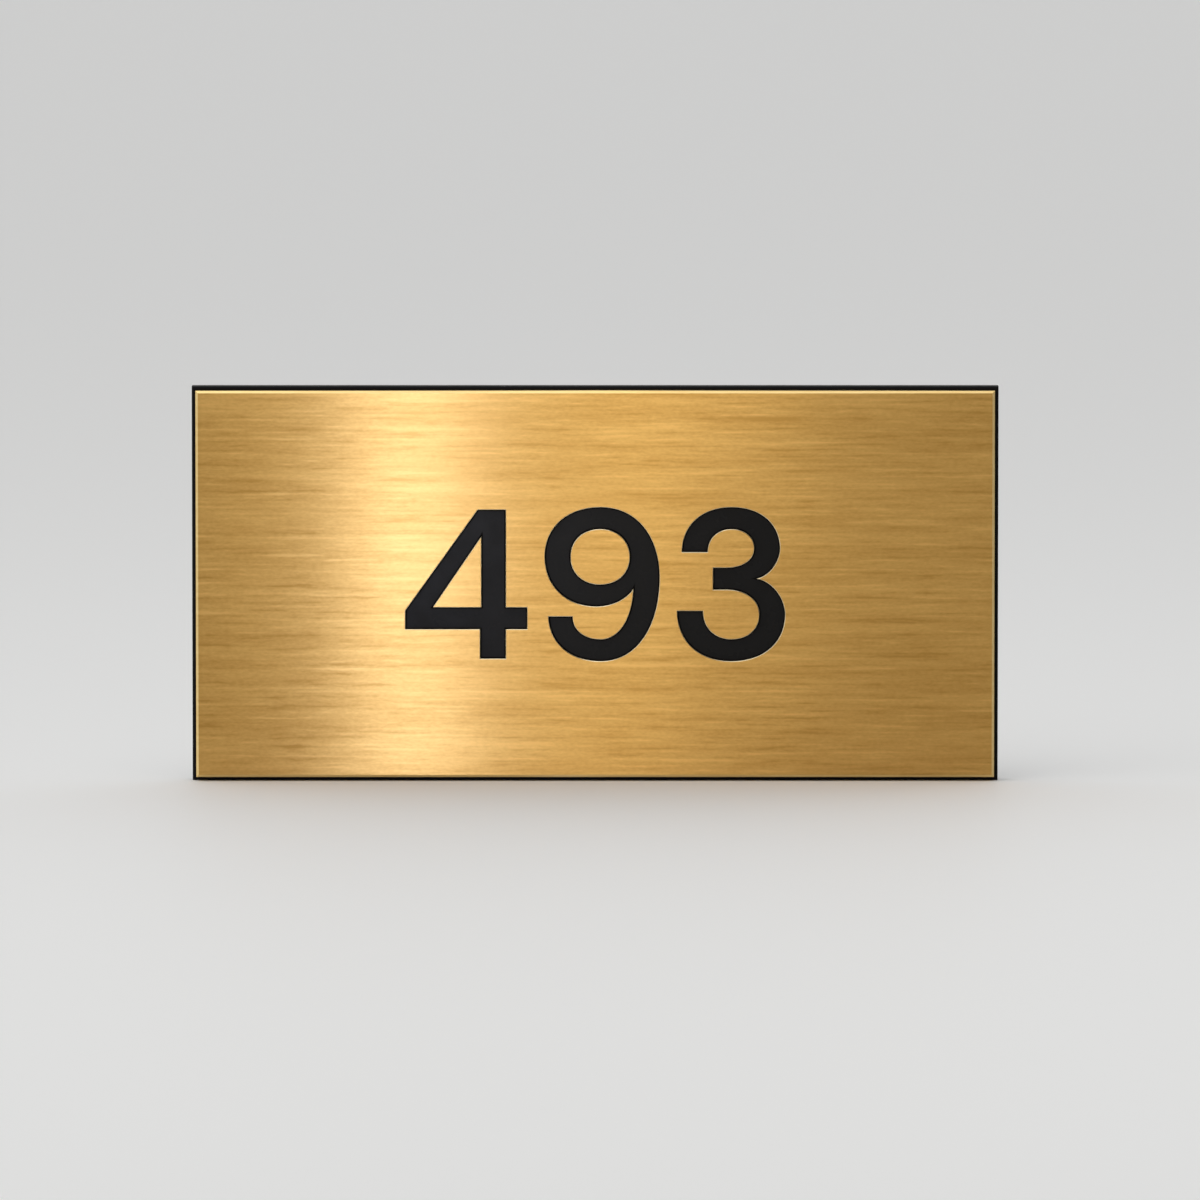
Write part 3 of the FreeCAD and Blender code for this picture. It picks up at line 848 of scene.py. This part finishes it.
studio = {
    "floorColour": colour(0.94, 0.94, 0.93),
    "floorRoughness": 0.6,
    "floorSize": 24.0,
    "frontWorld": 0.0,  # strength of the world behind the camera
    "world": 0.86,
    "darkSide": Vector((1.0, -1.0, 0.0)).normalized(),
    "darkFrom": 0.96,  # cosines of the angles at which the dark front starts and ends
    "darkTo": -0.25,
    "stripDistance": 0.35,
    "boxSize": 0.9,
}
boxes = {
    # name: (place, brightness)
    "topBox": ((0.0, -0.25, 1.30), 1.0),
    "frontBox": ((0.0, -0.95, 0.95), 0.35),
}
lowStrip, highStrip = (-0.045, 0.050), (0.15, 0.45)
white, cool = (1.0, 1.0, 1.0), (0.83, 1.0, 1.70)
strips = {
    # name: (left and right edge of its reflection in the face, foot and head, brightness, tint)
    "bandStrip": ((-0.060, -0.034), lowStrip, 11.2, cool),
    "middleStrip": ((-0.033, 0.020), lowStrip, 2.3, white),
    "rightStrip": ((0.014, 0.050), highStrip, 3.3, white),
    "leftStrip": ((-0.095, -0.068), highStrip, 1.7, white),
    "wideStrip": ((-0.110, 0.110), highStrip, 0.45, white),
}


def makeFloor(plan):
    low = cadBox[0].z
    half = plan["floorSize"] / 2
    mesh = bpy.data.meshes.new("floor")
    spots = [(-half, -half, low), (half, -half, low), (half, half, low), (-half, half, low)]
    mesh.from_pydata(spots, [], [(0, 1, 2, 3)])
    floor = bpy.data.objects.new("floor", mesh)
    bpy.context.scene.collection.objects.link(floor)
    material, shader = newMaterial("paleFloor", Roughness=plan["floorRoughness"])
    shader.inputs["Base Color"].default_value = plan["floorColour"]
    mesh.materials.append(material)
    return floor


def addLamp(name, place, aim, width, height, brightness, tint):
    data = bpy.data.lights.new(name, "AREA")
    data.shape = "RECTANGLE"
    data.size = width
    data.size_y = height
    data.color = tint
    data.energy = math.pi * brightness * width * height
    lamp = bpy.data.objects.new(name, data)
    lamp.location = place
    lamp.rotation_euler = (Vector(aim) - Vector(place)).to_track_quat("-Z", "Y").to_euler()
    lamp.visible_camera = False
    bpy.context.scene.collection.objects.link(lamp)
    return lamp


def addStrip(name, edges, reach, brightness, tint, plan, floorLeftOut):
    # Seen from the camera, a strip's reflection stands where the face mirrors it.
    distance = plan["stripDistance"]
    spreadOut = 1 + distance / cameraPlan["distance"]
    left, right = [edge * spreadOut for edge in edges]
    foot, head = reach
    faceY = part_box("face_plate")[0].y
    place = Vector(((left + right) / 2, faceY - distance, (foot + head) / 2))
    aim = place + Vector((0, 1, 0))
    strip = addLamp(name, place, aim, right - left, head - foot, brightness, tint)
    strip.light_linking.receiver_collection = floorLeftOut


def makeWorld(plan):
    world = bpy.data.worlds.new("studio")
    world.use_nodes = True
    tree = world.node_tree
    background = tree.nodes["Background"]
    direction = addNode(tree, "ShaderNodeTexCoord").outputs["Generated"]
    ahead = vectorCalc(tree, "DOT_PRODUCT", direction, plan["darkSide"])["Value"]
    level = spread(
        tree, ahead, plan["darkTo"], plan["darkFrom"], plan["world"], plan["frontWorld"], "SMOOTHSTEP"
    )
    connect(tree, level, background.inputs["Strength"])
    background.inputs["Color"].default_value = colour(1.0, 1.0, 1.0)
    bpy.context.scene.world = world


floor = makeFloor(studio)
# The strips stand close in front of the face, so they leave the floor out.
floorLeftOut = bpy.data.collections.new("floorLeftOut")
floorLeftOut.objects.link(floor)
floorLeftOut.collection_objects[0].light_linking.link_state = "EXCLUDE"
for stripName, stripPlan in strips.items():
    addStrip(stripName, *stripPlan, studio, floorLeftOut)
for boxName, (boxPlace, boxBrightness) in boxes.items():
    addLamp(boxName, boxPlace, (0, 0, 0), studio["boxSize"], studio["boxSize"], boxBrightness, white)
makeWorld(studio)
bpy.context.scene.view_settings.view_transform = "Standard"
print("studio ready")
